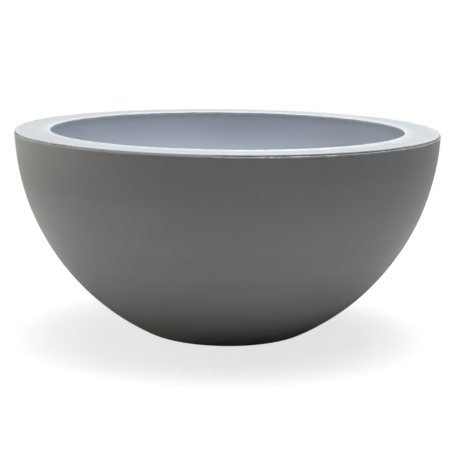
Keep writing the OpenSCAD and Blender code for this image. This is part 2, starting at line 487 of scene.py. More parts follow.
class Graph:
    """Short words for building a material's node tree. Scales of patterns are counts to the metre."""

    def __init__(self, name: str) -> None:
        """Starts an empty material.

        Args:
            name: name of the material.
        """
        self.material = bpy.data.materials.new(name)
        self.material.use_nodes = True
        self.tree = self.material.node_tree
        self.tree.nodes.clear()
        self.place = self.node("ShaderNodeTexCoord").outputs["Object"]

    def node(self, kind: str, *values: Value, **settings: str | bool) -> bpy.types.Node:
        """Adds a node.

        Args:
            kind: type of the node.
            values: what its first inputs get, in their order.
            settings: its settings by name.

        Returns:
            The node.
        """
        made = self.tree.nodes.new(kind)
        for key, value in settings.items():
            setattr(made, key, value)
        for target, value in zip(made.inputs, values):
            self.feed(target, value)
        return made

    def feed(self, target: Socket, value: Value) -> None:
        """Links a socket into an input, or sets the input to a plain value.

        Args:
            target: the input.
            value: a socket, a number, or the three parts of a vector or a colour.
        """
        if isinstance(value, bpy.types.NodeSocket):
            self.tree.links.new(value, target)
        elif isinstance(value, tuple) and len(value) == 3 and target.type == "RGBA":
            target.default_value = (*value, 1.0)
        else:
            target.default_value = value

    def maths(self, operation: str, a: Value, b: Value, clamp: bool = False) -> Socket:
        """Result of a Math node."""
        return self.node("ShaderNodeMath", a, b, operation=operation, use_clamp=clamp).outputs[0]

    def times(self, a: Value, b: Value) -> Socket:
        """Product of two values."""
        return self.maths("MULTIPLY", a, b)

    def spread(self, value: Socket, low: float, high: float,
               to_low: float = 0.0, to_high: float = 1.0) -> Socket:
        """The value carried smoothly from the range low to high into the range to_low to to_high."""
        return self.node("ShaderNodeMapRange", value, low, high, to_low, to_high,
                         interpolation_type="SMOOTHSTEP").outputs["Result"]

    def stretched(self, scale: tuple[float, float, float]) -> Socket:
        """Object coordinates multiplied by a scale for each axis."""
        return self.node("ShaderNodeVectorMath", self.place, scale, operation="MULTIPLY").outputs["Vector"]

    def height(self) -> Socket:
        """Height above the ground."""
        return self.node("ShaderNodeSeparateXYZ", self.place).outputs["Z"]

    def from_axis(self) -> Socket:
        """Distance from the upright axis."""
        flat = self.stretched((1.0, 1.0, 0.0))
        return self.node("ShaderNodeVectorMath", flat, operation="LENGTH").outputs["Value"]

    def facing_up(self) -> Socket:
        """Upward part of the surface's own direction."""
        normal = self.node("ShaderNodeNewGeometry").outputs["Normal"]
        return self.node("ShaderNodeSeparateXYZ", normal).outputs["Z"]

    def ringed(self, around: float, outwards: float, upwards: float) -> Socket:
        """Coordinates for marks that run round the axis: slow in x and y, quick in radius and height.

        Args:
            around: scale of x and y.
            outwards: scale of the distance from the axis.
            upwards: scale of the height.

        Returns:
            The coordinates.
        """
        x, y, z = self.node("ShaderNodeSeparateXYZ", self.place).outputs
        quick = self.maths("ADD", self.times(self.from_axis(), outwards), self.times(z, upwards))
        made = self.node("ShaderNodeCombineXYZ", self.times(x, around), self.times(y, around), quick)
        return made.outputs["Vector"]

    def noise(self, vector: Socket, scale: float, detail: float = 2.0, roughness: float = 0.5) -> Socket:
        """Value of a Noise Texture.

        Args:
            vector: its coordinates.
            scale: its scale.
            detail: number of finer layers in it.
            roughness: strength of each finer layer against the one before.

        Returns:
            Values about 0.5 on average.
        """
        made = self.node("ShaderNodeTexNoise", vector)
        for key, value in (("Scale", scale), ("Detail", detail), ("Roughness", roughness)):
            made.inputs[key].default_value = value
        return made.outputs["Fac"]

    def cells(self, scale: float) -> Socket:
        """Distance to the nearest of many scattered spots.

        Args:
            scale: how close together the spots are.

        Returns:
            The distance as a share of their spacing.
        """
        made = self.node("ShaderNodeTexVoronoi", self.place)
        made.inputs["Scale"].default_value = scale
        return made.outputs["Distance"]

    def mixed(self, share: Value, a: Value, b: Value) -> Socket:
        """Mixes two colours.

        Args:
            share: share of the second colour.
            a: the first colour.
            b: the second colour.

        Returns:
            The mixed colour.
        """
        made = self.node("ShaderNodeMix", share, data_type="RGBA")
        self.feed(made.inputs[6], a)
        self.feed(made.inputs[7], b)
        return made.outputs[2]

    def layered(self, base: Value, *layers: tuple[Value, Colour]) -> Value:
        """Lays colours over a base, one after another.

        Args:
            base: the colour at the bottom.
            layers: share and colour of each layer, from the bottom up.

        Returns:
            The colour on top.
        """
        for share, colour in layers:
            base = self.mixed(share, base, colour)
        return base

    def tinted(self, colour: Socket, factor: Socket) -> Socket:
        """The colour multiplied by a grey factor."""
        return self.node("ShaderNodeVectorMath", colour, factor, operation="MULTIPLY").outputs["Vector"]

    def worn(self, relief: Relief) -> Socket:
        """Value of one of the mesh attributes."""
        return self.node("ShaderNodeAttribute", attribute_name=relief.value).outputs["Fac"]

    def bump(self, height: Socket, distance: float, below: Socket | None = None) -> Socket:
        """Bumps the surface.

        Args:
            height: height of the bump, in units of the distance.
            distance: the unit of height, in metres.
            below: normal of the bump that this one lies on.

        Returns:
            The bumped normal.
        """
        made = self.node("ShaderNodeBump")
        made.inputs["Distance"].default_value = distance
        self.feed(made.inputs["Height"], height)
        if below is not None:
            self.feed(made.inputs["Normal"], below)
        return made.outputs["Normal"]

    def principled(self, colour: Socket, roughness: Socket, normal: Socket,
                   **plain_values: float) -> bpy.types.Material:
        """Ends the tree in a Principled BSDF.

        Args:
            colour: base colour.
            roughness: roughness.
            normal: bumped normal.
            plain_values: other sockets by name, with underscores for spaces, and their plain values.

        Returns:
            The finished material.
        """
        shader = self.node("ShaderNodeBsdfPrincipled")
        for key, value in (("Base Color", colour), ("Roughness", roughness), ("Normal", normal)):
            self.feed(shader.inputs[key], value)
        for key, value in plain_values.items():
            shader.inputs[key.replace("_", " ")].default_value = value
        return self.ended(shader.outputs[0])

    def between(self, share: Value, a: Socket, b: Socket) -> Socket:
        """Shader between two others, with the share of the second."""
        return self.node("ShaderNodeMixShader", share, a, b).outputs[0]

    def ended(self, surface: Socket) -> bpy.types.Material:
        """The material, with a shader linked to its output."""
        self.node("ShaderNodeOutputMaterial", surface)
        return self.material


# What settles on the finishes
DUST = linear(196, 194, 188)
LIMESCALE = linear(150, 148, 142)
LINT = linear(128, 126, 120)


@dataclass(frozen=True)
class SprayedCoat:
    """Matte grey coat sprayed on a moulded skin.

    It has soft clouds and faint bands from the spraying, fine orange peel, rare pinholes and short
    light scuffs. Edges are rubbed down to the pale filler under the coat, which on the lip and round
    the opening is also a painted highlight, and painted shade darkens hollows and lines under edges.
    Painted light pales the slopes inside, the wall towards the foot and the top of the rim, painted
    shade darkens the floor of the bowl, and level faces carry dust. painted_rim_light is the rim's
    colour and bare_and_highlight that of the filler. clouds is how much the tone varies, and
    painted_slope_light, painted_floor_shade, painted_bounce_light, dust and scuffs are the strengths of
    those marks.
    """

    name: str
    colour: Colour
    painted_rim_light: Colour
    roughness: float
    clouds: float = 0.05
    painted_slope_light: float = 0.0
    painted_floor_shade: float = 0.0
    painted_bounce_light: float = 0.0
    dust: float = 0.10
    scuffs: float = 0.20
    gloss: float = 0.5
    bare_and_highlight: Colour = linear(222, 223, 221)

    def ground_with_painted_light(self, g: Graph, up: Socket, rim_z: float) -> Socket:
        """Colour of the coat under its marks, with painted light and shade by the way a face turns and by
        its height.

        Args:
            g: the material's tree.
            up: upward part of the surface's direction.
            rim_z: height of the rim's top.

        Returns:
            The colour with painted light on the slopes inside, painted shade on the bowl's floor, painted
            light from the floor on the lower wall and painted light on the rim's top.
        """
        # Painted light pales slopes inside, the lower wall as if lit from the floor, and the rim's top;
        # painted shade darkens the bowl's floor
        painted_slope_light = g.times(g.spread(up, -0.10, 0.46, 0.0, self.painted_slope_light), g.spread(up, 0.36, 0.92, 1.0, 0.0))
        painted_floor_shade = g.spread(up, 0.50, 0.95, 0.0, self.painted_floor_shade)
        painted_bounce_light = g.spread(g.height(), 20 * MM, 260 * MM, self.painted_bounce_light, 0.0)
        rim_light_share = g.times(g.spread(up, 0.55, 0.97), g.spread(g.height(), rim_z - 8 * MM, rim_z - 2 * MM))
        return g.layered(self.colour, (painted_slope_light, shaded(self.colour, 2.0)), (painted_floor_shade, shaded(self.colour, 0.5)),
                         (painted_bounce_light, shaded(self.colour, 1.35)), (rim_light_share, self.painted_rim_light))

    def material(self, rim_z: float) -> bpy.types.Material:
        """Builds the finish.

        Args:
            rim_z: height of the rim's top.

        Returns:
            The material.
        """
        g = Graph(self.name)
        up = g.facing_up()
        cloud = g.noise(g.place, 5.5, 3.0, 0.55)
        bands = g.noise(g.ringed(3.0, 34.0, 34.0), 1.0, 2.0)
        tone = g.maths("ADD", g.times(cloud, 0.65), g.times(bands, 0.35))
        light = g.spread(tone, 0.34, 0.66, 1 - self.clouds, 1 + self.clouds)
        grain = g.noise(g.place, 950.0, 2.0, 0.6)
        pinhole = g.times(g.spread(g.cells(115.0), 0.05, 0.10, 1.0, 0.0),
                          g.spread(g.noise(g.place, 9.0, 1.0), 0.58, 0.66))
        lines = g.noise(g.stretched((22.0, 22.0, 310.0)), 1.0, 3.0, 0.6)
        scuff = g.times(g.spread(lines, 0.63, 0.70), g.spread(g.noise(g.place, 16.0, 1.0), 0.60, 0.70))
        patchy = g.spread(g.noise(g.place, 75.0, 3.0, 0.6), 0.40, 0.62)
        rubbed = g.times(g.worn(Relief.EDGE), g.spread(patchy, 0.0, 1.0, 0.45, 1.0))
        dusty = g.times(g.spread(up, 0.55, 0.98), g.spread(g.noise(g.place, 26.0, 4.0, 0.6), 0.35, 0.75))
        colour = g.layered(
            g.tinted(self.ground_with_painted_light(g, up, rim_z), light),
            (g.spread(grain, 0.25, 0.45, 0.10, 0.0), shaded(self.colour, 0.6)),
            (g.times(pinhole, 0.35), shaded(self.colour, 0.45)),
            (g.times(scuff, self.scuffs), shaded(self.colour, 1.7)),
            # Rubbed edges show the pale filler, which on the lip and round the opening is also a painted
            # highlight
            (rubbed, self.bare_and_highlight),
            # Painted shade in hollows, in the joint, under the lip and the opening's edge, and at the foot
            (g.times(g.worn(Relief.HOLLOW_SHADE), 0.8), shaded(self.colour, 0.35)),
            (g.times(dusty, self.dust), DUST),
        )
        rough = g.maths("ADD", g.spread(cloud, 0.3, 0.7, self.roughness - 0.03, self.roughness + 0.03),
                        g.times(scuff, 0.12), clamp=True)
        peel = g.bump(g.noise(g.place, 240.0, 2.0), 0.10 * MM)
        fine = g.bump(grain, 0.030 * MM, peel)
        pits = g.bump(g.times(pinhole, -1.0), 0.25 * MM, fine)
        return g.principled(colour, rough, pits, IOR=1.5, Specular_IOR_Level=self.gloss)


@dataclass(frozen=True)
class MouldedPlastic:
    """Satin moulded plastic with a fine grain, flow marks round the axis, rubbed edges and limescale."""

    name: str
    colour: Colour
    roughness: float

    def material(self) -> bpy.types.Material:
        """Builds the finish.

        Returns:
            The material.
        """
        g = Graph(self.name)
        flow = g.noise(g.ringed(60.0, 700.0, 500.0), 1.0, 2.0)
        patchy = g.spread(g.noise(g.place, 420.0, 3.0), 0.40, 0.60)
        limed = g.times(g.spread(g.facing_up(), 0.5, 1.0),
                        g.spread(g.noise(g.place, 240.0, 4.0, 0.65), 0.45, 0.75))
        colour = g.layered(
            g.mixed(g.spread(flow, 0.35, 0.65), shaded(self.colour, 0.85), shaded(self.colour, 1.2)),
            (g.times(g.worn(Relief.EDGE), g.times(patchy, 0.7)), shaded(self.colour, 3.0)),
            (g.times(limed, 0.22), LIMESCALE),
        )
        rough = g.spread(flow, 0.3, 0.7, self.roughness - 0.06, self.roughness + 0.06)
        normal = g.bump(g.noise(g.place, 2600.0, 2.0), 0.020 * MM, g.bump(flow, 0.025 * MM))
        return g.principled(colour, rough, normal, IOR=1.49)


@dataclass(frozen=True)
class SoftRubber:
    """Matte moulded rubber with a grey bloom, specks of lint, rubbed edges and a fine grain."""

    name: str
    colour: Colour
    bloom: Colour

    def material(self) -> bpy.types.Material:
        """Builds the finish.

        Returns:
            The material.
        """
        g = Graph(self.name)
        bloom = g.spread(g.noise(g.place, 90.0, 4.0, 0.6), 0.40, 0.75)
        colour = g.layered(
            self.colour,
            (g.times(bloom, 0.5), self.bloom),
            (g.spread(g.cells(900.0), 0.10, 0.22, 0.35, 0.0), LINT),
            (g.times(g.worn(Relief.EDGE), 0.30), shaded(self.bloom, 1.5)),
        )
        rough = g.spread(bloom, 0.0, 1.0, 0.62, 0.82)
        normal = g.bump(g.noise(g.place, 1500.0, 3.0), 0.030 * MM)
        return g.principled(colour, rough, normal, IOR=1.5)


# Outside coat: painted light from the floor pales the wall towards the foot, and its near-white filler
# colour makes the rubbed lip line a painted highlight as well as wear
OUTER_COAT = SprayedCoat("grey_coat_outside", linear(126, 126, 128), linear(141, 142, 141),
                         roughness=0.44, painted_bounce_light=0.8, gloss=0.42, bare_and_highlight=linear(242, 243, 240))
# Inside coat: a lighter, bluer copy of the outside coat as painted sky light, with painted light on its
# slopes and painted shade on its floor
INNER_COAT_PAINTED_LIGHT = SprayedCoat("grey_coat_inside_painted_light", linear(150, 156, 165), linear(160, 165, 169),
                         roughness=0.40, painted_slope_light=0.86, painted_floor_shade=0.5)
# Coat on the filler: a lighter copy of the grey coat, painted light on the bead in the joint
FILLER_COAT = SprayedCoat("grey_coat_on_filler_painted_light", linear(166, 166, 162), linear(170, 170, 167),
                          roughness=0.38, clouds=0.12)
FITTING_PLASTIC = MouldedPlastic("black_moulded_plastic", linear(52, 53, 55), roughness=0.42)
SEAL_RUBBER = SoftRubber("seal_rubber", linear(30, 30, 31), linear(62, 61, 60))
PLUG_RUBBER = SoftRubber("plug_rubber", linear(40, 41, 43), linear(76, 76, 76))
PAD_RUBBER = SoftRubber("pad_rubber", linear(34, 35, 36), linear(70, 69, 67))


def settle(piece: bpy.types.Object, body: Body, nodes: tuple[str, ...],
           finish: bpy.types.Material) -> bpy.types.Object:
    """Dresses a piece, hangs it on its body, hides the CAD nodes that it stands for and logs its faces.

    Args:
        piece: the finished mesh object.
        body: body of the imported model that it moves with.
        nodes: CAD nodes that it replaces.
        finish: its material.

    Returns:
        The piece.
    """
    piece.data.materials.clear()
    piece.data.materials.append(finish)
    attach(piece, body.value)
    if nodes:
        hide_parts(*nodes)
    log.info("%s: %d faces, on %s", piece.name, len(piece.data.polygons), body.value)
    return piece


@dataclass(frozen=True)
class BowlCurve:
    """Curve of a bowl: one arc for the wall, and a smaller arc tangent to it that turns it into the floor.

    The wall's circle meets the edge at the wall's lean from upright, and its centre lies as far
    from the small circle's centre as the two radii differ. edge_r and edge_z are the upper edge that
    the wall runs to, base_r and base_z the end of the flat floor, and blend the small arc's radius.
    """

    edge_r: float
    edge_z: float
    base_r: float
    base_z: float
    blend: float
    lean: float

    @property
    def wall(self) -> float:
        """Radius w of the wall's arc.

        With a = edge_r - base_r and b = edge_z - base_z - blend, the condition on the centres gives
        w = (a^2 + b^2 - blend^2) / (2 (a cos(lean) - b sin(lean) - blend)).

        Returns:
            The radius.
        """
        a, b = self.edge_r - self.base_r, self.edge_z - self.base_z - self.blend
        return (a * a + b * b - self.blend**2) / (
            2 * (a * math.cos(self.lean) - b * math.sin(self.lean) - self.blend))

    @property
    def wall_centre(self) -> tuple[float, float]:
        """Centre of the wall's arc."""
        return (self.edge_r - self.wall * math.cos(self.lean), self.edge_z + self.wall * math.sin(self.lean))

    def points(self, inset: float, top: float, steps: tuple[int, int]) -> Array:
        """The curve moved inwards by an inset, from the edge of the floor up to a height.

        Args:
            inset: how far the curve is moved towards the inside. A negative one moves it out.
            top: height where it ends.
            steps: number of steps on the small arc and on the wall.

        Returns:
            Rows of radius and height.
        """
        centre, small = self.wall_centre, (self.base_r, self.base_z + self.blend)
        meet = math.atan2(small[1] - centre[1], small[0] - centre[0])
        end = math.asin((top - centre[1]) / (self.wall - inset))
        low = arc(small, self.blend - inset, -math.pi / 2, meet, steps[0])
        return np.vstack([low, arc(centre, self.wall - inset, meet, end, steps[1])[1:]])


@dataclass(frozen=True)
class OuterBowl:
    """Outer skin: from the lip under the rim down to the flat foot ring and over the hollow in it.

    Its heights are the top of the rim, the joint between the skins and the underside of the foot
    ring. The ledge, ledge_w wide and ledge_t thick, carries the rim. draft is how far the side of
    the hollow leans, wave the depth of the wall's slow unevenness, and lip_wear how much is worn
    off the lip on average.
    """

    bowl_r: float
    rim_z: float
    joint_z: float
    foot_z: float
    foot_r: float = 85 * MM
    blend: float = 60 * MM
    lean: float = WALL_LEAN
    skin: float = 5 * MM
    ring_w: float = 32 * MM
    hollow: float = 12 * MM
    draft: float = 3 * MM
    hole_r: float = DRAIN_HOLE_R
    ledge_w: float = 22 * MM
    ledge_t: float = 6 * MM
    lip_round: float = 1.0 * MM
    wave: float = 0.5 * MM
    wave_length: float = 160 * MM
    lip_wear: float = 0.10 * MM
    columns: int = 360

    def section(self) -> Section:
        """Half section, from the hole in the floor out, up the outside and back down the inside.

        Returns:
            The section.
        """
        curve = BowlCurve(self.bowl_r, self.rim_z, self.foot_r, self.foot_z, self.blend, self.lean)
        ceiling, ring_r = self.foot_z + self.hollow, self.foot_r - self.ring_w
        floor, low = ceiling + self.skin, self.foot_z + self.skin
        ledge_r, ledge_z = self.bowl_r - self.ledge_w, self.joint_z - self.ledge_t
        outside = curve.points(0.0, self.joint_z - 3 * MM, (26, 96))
        inside = curve.points(self.skin, ledge_z - 7 * MM, (8, 26))[::-1]
        slope = self.draft * (low - self.foot_z) / (floor - self.foot_z)
        return Section.of(rounded(np.vstack([
            [(self.hole_r, ceiling, 0.4 * MM), (ring_r - self.draft, ceiling, 3 * MM),
             (ring_r, self.foot_z, 1.5 * MM)],
            plain(outside),
            [(self.bowl_r, self.joint_z, self.lip_round), (ledge_r, self.joint_z, 0.5 * MM),
             (ledge_r, ledge_z, 0.5 * MM), (inside[0, 0] + 0.2 * MM, ledge_z, 6 * MM)],
            plain(inside),
            [(ring_r + self.skin - slope, low, 1 * MM), (ring_r + self.skin - self.draft, floor, 8 * MM),
             (self.hole_r, floor, 0.4 * MM)],
        ])))

    def relief(self, section: Section, turn: Array) -> Array:
        """Slow unevenness of the wall, and the nicks and the wear of the lip.

        Args:
            section: the half section.
            turn: angles of its copies.

        Returns:
            The lift for each point and angle.
        """
        z = section.points[:, 1:]
        free = fade(z, self.foot_z, 30 * MM) * (1 - fade(z, self.joint_z - 12 * MM, self.joint_z - 4 * MM))
        lip = section.along()[np.argmax(section.points.sum(axis=1))]
        at_lip = section.near(self.bowl_r, self.joint_z, 0.9 * MM)[:, None]
        lift = waves(section, turn, self.wave, self.wave_length, seed=3) * free + nicked(section, turn, lip)
        return lift - self.lip_wear * at_lip * (1 + ragged(turn, 140, seed=17))

    def spared(self, section: Section, turn: Array) -> Array:
        """Share of the edge wear that shows: at the lip only in a fine line, and there in some places. That
        pale line is also a painted highlight.

        Args:
            section: the half section.
            turn: angles of its copies.

        Returns:
            The share for each point and angle.
        """
        z = section.points[:, 1:]
        # The pale line on the lip is wear and a painted highlight, strongest in front and to the right
        rubbed = 0.8 * bell(turn, 14, 10) + 0.4 * bell(turn, 50, 22) + 0.25
        rubbed = np.clip(rubbed + 0.12 * ragged(turn, 60, seed=23), 0, 1)
        line = section.near(self.bowl_r - 0.3 * MM, self.joint_z - 0.3 * MM, 0.8 * MM)[:, None]
        return 1 - fade(z, self.joint_z - 4 * MM, self.joint_z - 2 * MM) * (1 - rubbed * line)

    def painted_shade_marks(self, section: Section) -> Array:
        """Painted shade in a faint line under the lip, and painted shade at the foot that thins out upwards.

        Args:
            section: the half section.

        Returns:
            The painted shade at each point.
        """
        r, z = section.points[:, :1], section.points[:, 1:]
        line = 0.30 * section.near(self.bowl_r, self.joint_z - 2.4 * MM, 0.6 * MM)[:, None]
        damp = np.exp((self.foot_z - z) / (6 * MM)) + 0.2 * (1 - fade(z, 20 * MM, 60 * MM))
        damp = damp * fade(r, self.foot_r - 12 * MM, self.foot_r)
        return np.clip(np.maximum(line, damp), 0, 1)

    def build(self) -> bpy.types.Object:
        """Builds and dresses the outer skin.

        Returns:
            The finished piece.
        """
        section = self.section()
        turn = turn_with_nicks(self.columns, self.bowl_r)
        changes = Changes(lift=self.relief(section, turn), spared=self.spared(section, turn),
                          painted_shade=self.painted_shade_marks(section))
        piece = turned("outer_bowl_skin", section, turn, changes)
        return settle(piece, Body.POT, ("outer_shell",), OUTER_COAT.material(self.rim_z))


@dataclass(frozen=True)
class InnerBowl:
    """Inner skin with the flat rim, the tongue under it, and the sump in the floor.

    low_z is the underside of the sump. arris is the rounding of the opening's edge, crown how much
    the rim rises towards it, setback how far the rim's side stands back from the lip below it, and
    sump_flare how much the sump's radius grows from its floor to its top. rim_wear and other_wear
    are the shares of the edge wear that show on the rim and below it.
    """

    bowl_r: float
    rim_z: float
    joint_z: float
    low_z: float
    lean: float = WALL_LEAN
    rim_w: float = 47 * MM
    arris: float = 1.6 * MM
    crown: float = 0.4 * MM
    edge_round: float = 2.0 * MM
    setback: float = RIM_SETBACK
    chamfer: float = 0.4 * MM
    skin: float = 4 * MM
    floor_r: float = 75 * MM
    blend: float = 50 * MM
    sump_r: float = 38 * MM
    sump_depth: float = 23 * MM
    sump_flare: float = 16 * MM
    sump_round: float = 6 * MM
    sump_fillet: float = 5 * MM
    hole_r: float = DRAIN_HOLE_R
    tongue_r: float = 257.7 * MM
    tongue_w: float = 4 * MM
    tongue_h: float = 10 * MM
    rim_fillet: float = 6 * MM
    wave: float = 0.45 * MM
    wave_length: float = 140 * MM
    rim_wear: float = 0.3
    other_wear: float = 0.5
    columns: int = 320

    @property
    def opening_r(self) -> float:
        """Radius of the opening."""
        return self.bowl_r - self.rim_w

    @property
    def edge_r(self) -> float:
        """Radius of the rim's side, which stands back from the lip below it."""
        return self.bowl_r - self.setback

    def deck(self) -> Array:
        """Top of the rim from the outside in: flat, and then up by the crown near the opening."""
        r = np.linspace(self.bowl_r - 9 * MM, self.opening_r + self.arris + 0.4 * MM, 14)
        return np.column_stack([r, self.rim_z - self.crown * fade(r - self.opening_r, 2 * MM, 12 * MM)])

    def section(self) -> Section:
        """Half section, from the hole along the underside, round the rim and back down the inside.

        Returns:
            The section.
        """
        sump_z, arris_z = self.low_z + self.skin, self.rim_z - self.arris
        floor_z = sump_z + self.sump_depth
        curve = BowlCurve(self.opening_r, arris_z, self.floor_r, floor_z, self.blend, self.lean)
        slope = self.sump_flare / self.sump_depth
        side = self.skin * math.hypot(1, slope)
        back = curve.points(-self.skin, self.joint_z - self.rim_fillet - 1 * MM, (8, 26))
        front = curve.points(0.0, arris_z, (22, 84))[::-1]
        arris = arc((self.opening_r + self.arris, arris_z), self.arris, math.pi, math.pi / 2, 9)[::-1]
        tongue_in, tongue_z = self.tongue_r - self.tongue_w, self.joint_z - self.tongue_h
        under_r = self.sump_r + side + slope * (self.sump_depth - self.skin)
        return Section.of(rounded(np.vstack([
            [(self.hole_r, self.low_z, 0.3 * MM),
             (self.sump_r + side - slope * self.skin, self.low_z, self.sump_fillet + self.skin),
             (under_r, floor_z - self.skin, self.sump_round)],
            plain(back),
            [(back[-1, 0] + 0.2 * MM, self.joint_z, self.rim_fillet), (tongue_in, self.joint_z, 0.4 * MM),
             (tongue_in, tongue_z, 0.5 * MM), (self.tongue_r, tongue_z, 0.5 * MM),
             (self.tongue_r, self.joint_z, 0.4 * MM), (self.edge_r - self.chamfer, self.joint_z, 0.1 * MM),
             (self.edge_r, self.joint_z + self.chamfer, 0.2 * MM),
             (self.edge_r, self.rim_z - self.crown, self.edge_round)],
            plain(self.deck()), plain(arris), plain(front[1:]),
            [(self.sump_r + self.sump_flare, floor_z, self.sump_round + self.skin),
             (self.sump_r, sump_z, self.sump_fillet), (self.hole_r, sump_z, 0.3 * MM)],
        ])))

    def relief(self, section: Section, turn: Array) -> Array:
        """Slow unevenness of the skin, and the nicks in the lower edge of the rim.

        Args:
            section: the half section.
            turn: angles of its copies.

        Returns:
            The lift for each point and angle.
        """
        r = section.points[:, :1]
        free = fade(r, 40 * MM, 60 * MM) * (1 - fade(r, self.bowl_r - 6 * MM, self.bowl_r - 2 * MM))
        lower_edge = np.argmax(section.near(self.edge_r, self.joint_z + self.chamfer, 1 * MM))
        hollows = nicked(section, turn, section.along()[lower_edge])
        return waves(section, turn, self.wave, self.wave_length, seed=11) * free + hollows

    def rubbed(self, section: Section, turn: Array) -> Array:
        """Wear round the opening, most at the front and at the back, where hands lift the bowl. The pale
        line along the opening's edge is also a painted highlight.

        Args:
            section: the half section.
            turn: angles of its copies.

        Returns:
            The wear for each point and angle.
        """
        z = section.points[:, 1:]
        edge = 0.45 * section.near(self.opening_r + self.arris, self.rim_z, 4 * MM)[:, None]
        hands = np.maximum(bell(turn, 20, 45), 0.8 * bell(turn, 180, 70))
        hands = hands * fade(z, self.rim_z - 1.4 * MM, self.rim_z - 0.4 * MM)
        handled = 0.8 * section.near(self.opening_r + 5 * MM, self.rim_z, 6 * MM)[:, None]
        return np.maximum(edge, handled * hands)

    def painted_shade_marks(self, section: Section) -> Array:
        """Painted shade in the joint line and in a soft line inside, right under the edge of the opening.

        Args:
            section: the half section.

        Returns:
            The painted shade at each point.
        """
        z = section.points[:, 1:]
        joint = section.near(self.edge_r - self.chamfer, self.joint_z, 0.5 * MM)[:, None]
        under = 0.55 * section.near(self.opening_r, self.rim_z - 2 * MM, 4.5 * MM)[:, None]
        return np.maximum(joint, under * fade(self.rim_z - z, 1.0 * MM, 2.6 * MM))

    def build(self) -> bpy.types.Object:
        """Builds and dresses the inner skin with its rim.

        Returns:
            The finished piece.
        """
        section = self.section()
        turn = turn_with_nicks(self.columns, self.bowl_r)
        spared = np.where(section.points[:, 1:] > self.rim_z - 4 * MM, self.rim_wear, self.other_wear)
        changes = Changes(lift=self.relief(section, turn), spared=spared,
                          rub=self.rubbed(section, turn), painted_shade=self.painted_shade_marks(section))
        piece = turned("inner_bowl_skin", section, turn, changes)
        return settle(piece, Body.POT, ("inner_bowl",), INNER_COAT_PAINTED_LIGHT.material(self.rim_z))


@dataclass(frozen=True)
class JointBead:
    """Uneven bead of painted filler in the joint line under the rim.

    It fills the step from the rim's side down to the lip in some runs and spots, in view mostly along
    the left of the front, and lies back in the joint elsewhere. A run is given by its middle and its
    width, in degrees from the side that faces the camera, and by how full it is. height and below
    are how far the full bead reaches above and under the joint, depth how deep it goes in from the
    lip, and least how full it is between the runs.
    """

    bowl_r: float
    rim_z: float
    joint_z: float
    setback: float = RIM_SETBACK
    height: float = 1.4 * MM
    below: float = 1.0 * MM
    depth: float = 2.6 * MM
    least: float = 0.4
    runs: tuple[tuple[float, float, float], ...] = (
        (-56, 9, 0.45), (-34, 11, 1.0), (-15, 8, 0.8), (-4, 5, 0.6), (40, 1.2, 0.4), (64, 0.8, 0.5),
        (118, 14, 1.0), (190, 25, 1.0))
    columns: int = 1400

    def filled(self, turn: Array) -> Array:
        """How full the joint is.

        Args:
            turn: angles round the axis.

        Returns:
            A share for each angle, from the least to 1.
        """
        full = 0.10 * ragged(turn, 260, seed=29)
        for degrees, width, share in self.runs:
            full = full + share * bell(turn, degrees, width)
        return self.least + (1 - self.least) * np.clip(full, 0, 1)

    def build(self) -> bpy.types.Object:
        """Builds and dresses the bead.

        Each section is the full one drawn in towards a point deep in the joint by how full it is.

        Returns:
            The finished piece.
        """
        side, deep = self.bowl_r - self.setback, self.bowl_r - self.depth
        low_z, high_z = self.joint_z - self.below, self.joint_z + self.height
        section = Section.of(rounded([
            (deep, low_z, 0), (self.bowl_r - 0.10 * MM, low_z, 0.1 * MM),
            (side + 0.30 * MM, self.joint_z + 0.3 * self.height, 0.8 * MM),
            (side - 0.05 * MM, high_z, 0.1 * MM), (deep, high_z, 0)]))
        turn = even_turn(self.columns)
        inwards = self.filled(turn) - 1
        r, z = section.points[:, :1], section.points[:, 1:]
        slide = ((r - deep) * inwards, (z - self.joint_z) * inwards)
        lift = 0.03 * MM * (ragged(turn, 420, seed=31) - 1)
        piece = turned("joint_bead", section, turn, Changes(lift=lift, slide=slide, spared=0.1))
        return settle(piece, Body.POT, (), FILLER_COAT.material(self.rim_z))


